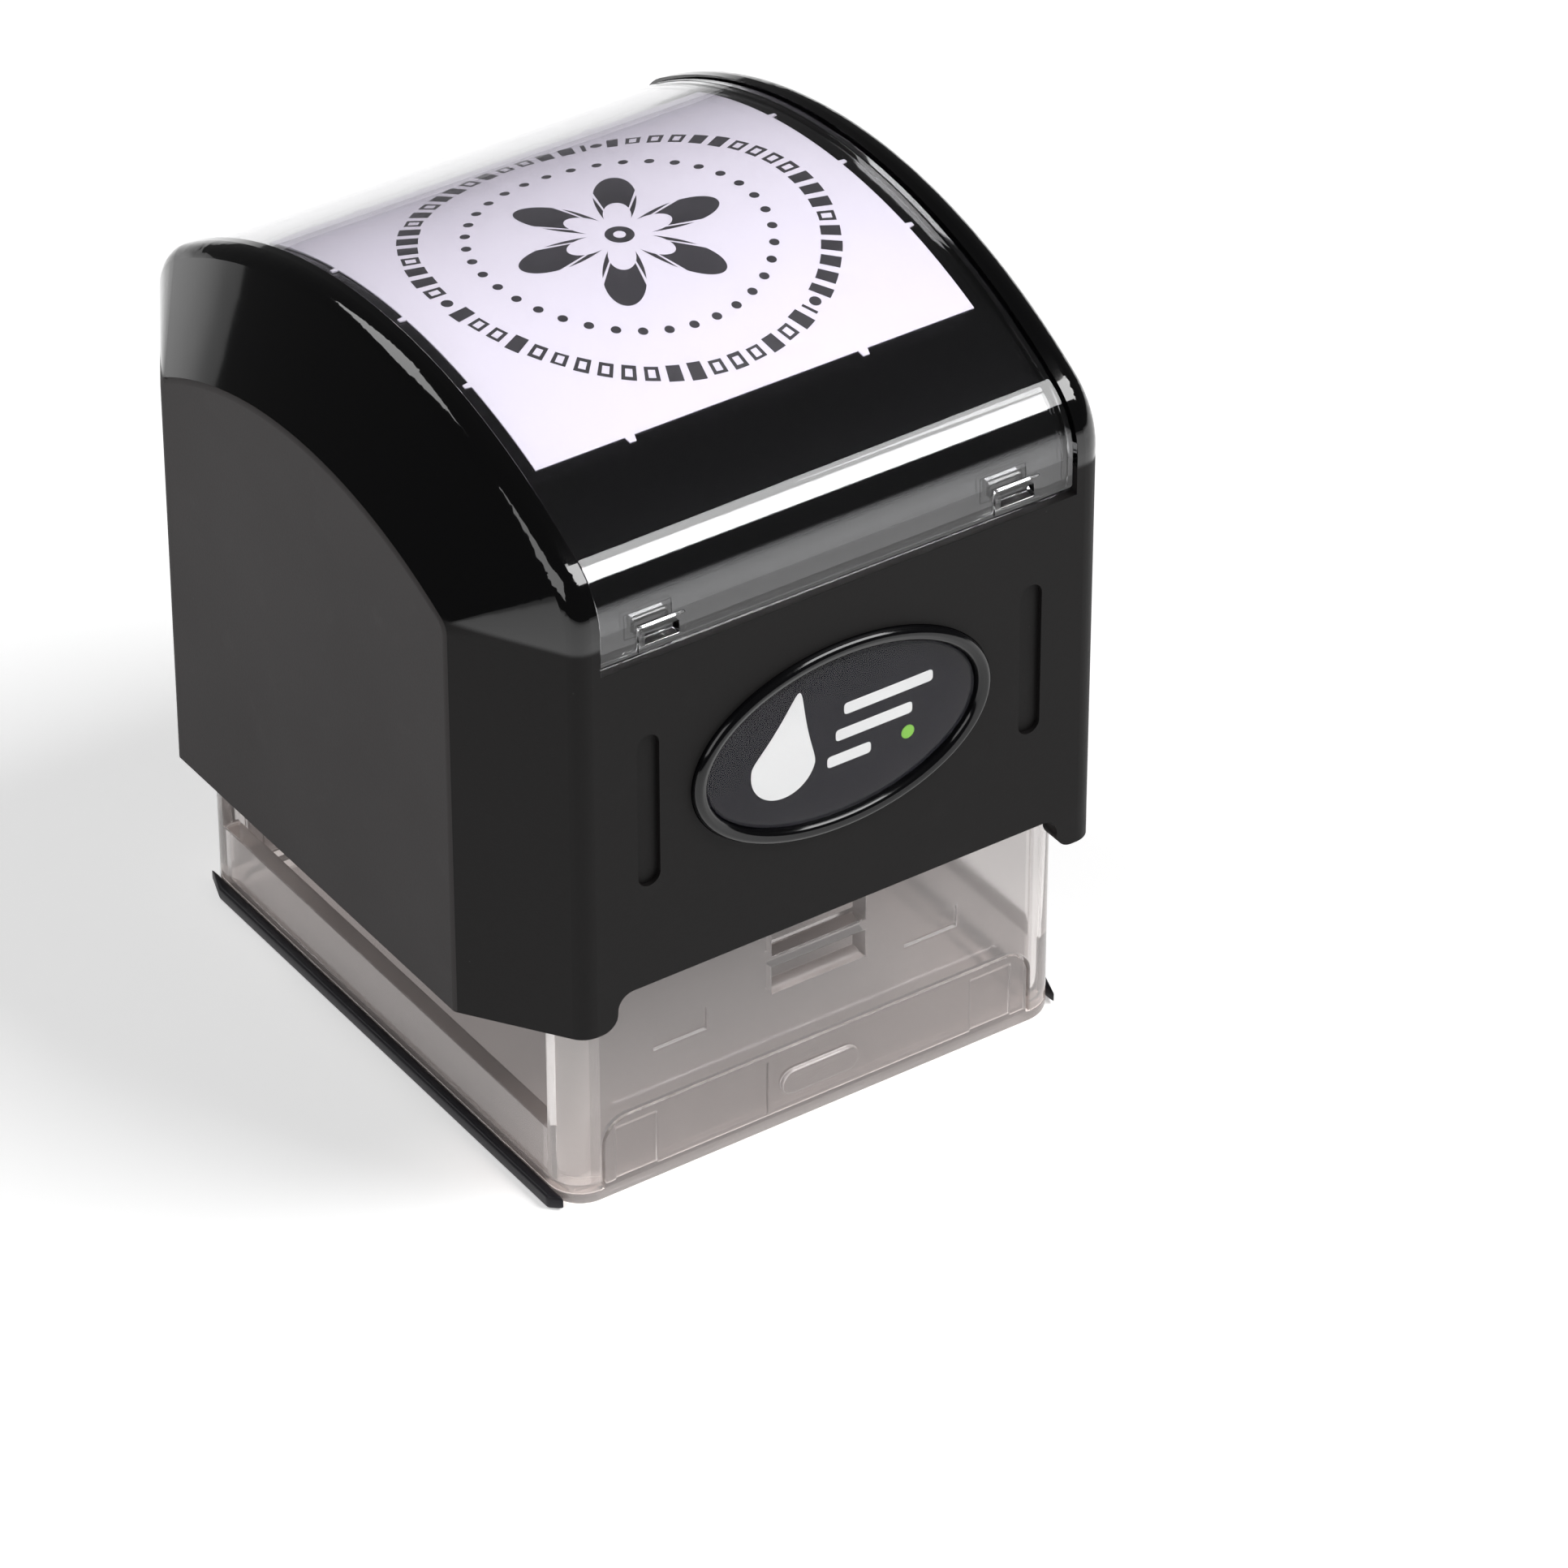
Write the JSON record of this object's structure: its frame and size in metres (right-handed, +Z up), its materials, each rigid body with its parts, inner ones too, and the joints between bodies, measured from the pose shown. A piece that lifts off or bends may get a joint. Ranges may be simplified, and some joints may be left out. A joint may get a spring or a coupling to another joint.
{
  "type": "hand stamp",
  "caption": "Spring-return pre-inked hand stamp: arched black housing sliding over a smoky clear base, with label window, oval badge, ink die and dust cover.",
  "frame": {"origin": "middle of the footprint on the table plane, under the dust cover", "axes": "+Z up along the stamping stroke, +X to the right across the front, the badge faces -Y"},
  "size_m": [0.0612, 0.0635, 0.0714],
  "materials": {
    "clear_smoke": "smoke-tinted clear moulded plastic, polished",
    "clear_window": "clear moulded plastic, polished",
    "dark_rubber": "dull soft rubber",
    "black_shell": "fine matte texture on the sides, gloss on the arch and rims",
    "label_paper": "smooth printed paper",
    "badge_gloss": "polished black",
    "badge_print": "dark printed disc",
    "badge_lens": "clear domed resin",
    "zinc_steel": "zinc plated",
    "spring_steel": "bright drawn wire",
    "grey_plastic": "as moulded",
    "black_inner": "as moulded",
    "ink_foam": "ink-soaked felt",
    "die_gel": "soft porous gel with a raised face"
  },
  "bodies": {
    "base": {"base_frame": "clear_smoke", "return_spring_front_left": "spring_steel", "return_spring_front_right": "spring_steel", "return_spring_rear_left": "spring_steel", "return_spring_rear_right": "spring_steel"},
    "cover": {"dust_cover": "clear_smoke", "cover_grip_left": "dark_rubber", "cover_grip_right": "dark_rubber"},
    "housing": {"housing_shell": "black_shell", "index_label": "label_paper", "badge_bezel": "badge_gloss", "badge_disc": "badge_print", "badge_dome": "badge_lens"},
    "window": {"index_window": "clear_window"},
    "screw": {"depth_screw": "zinc_steel", "screw_clip": "spring_steel"},
    "carrier": {"die_carrier": "grey_plastic", "die_holder": "grey_plastic", "die_frame": "black_inner", "ink_cell": "ink_foam", "printing_die": "die_gel"}
  },
  "joints": [
    {"name": "press_slide", "type": "slide", "parent": "base", "child": "housing", "axis": [0, 0, -1], "range_m": [0, 0.0165], "stiffness_N_per_m": 1000, "springref_m": -0.008, "deforming": ["return_spring_front_left", "return_spring_front_right", "return_spring_rear_left", "return_spring_rear_right"]},
    {"name": "window_lift", "type": "slide", "parent": "housing", "child": "window", "axis": [0, 0, 1], "range_m": [0, 0.02]},
    {"name": "screw_turn", "type": "hinge", "parent": "housing", "child": "screw", "pos_m": [0, 0, 0.052], "axis": [0, 0, 1], "range_deg": [0, 180]},
    {"name": "depth_slide", "type": "slide", "parent": "housing", "child": "carrier", "axis": [0, 0, -1], "range_m": [0, 0.0007]},
    {"name": "cover_pull", "type": "slide", "parent": "base", "child": "cover", "axis": [0, 0, -1], "range_m": [0, 0.012]}
  ],
  "couplings": [
    {"joint": "screw_turn", "follows": "depth_slide", "rad_per_m": 4487.5}
  ]
}
